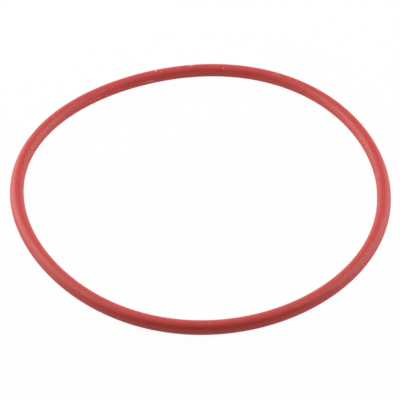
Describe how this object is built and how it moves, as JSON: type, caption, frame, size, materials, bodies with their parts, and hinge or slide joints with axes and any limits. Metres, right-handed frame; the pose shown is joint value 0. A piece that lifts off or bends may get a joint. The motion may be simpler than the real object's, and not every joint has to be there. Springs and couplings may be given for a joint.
{
  "type": "silicone o-ring",
  "caption": "Round silicone o-ring with a circular section and a fine moulded parting line on its inner and outer sides, for sealing in a groove.",
  "frame": {"origin": "centre of the ring, on the plane of its parting line", "axes": "+Z along the ring's axis; the ring lies flat in XY"},
  "size_m": [0.0988, 0.0988, 0.0036],
  "materials": {
    "silicone": "satin brick-red silicone rubber, slightly dusty"
  },
  "bodies": {
    "root": {"o_ring": "silicone"}
  },
  "joints": []
}
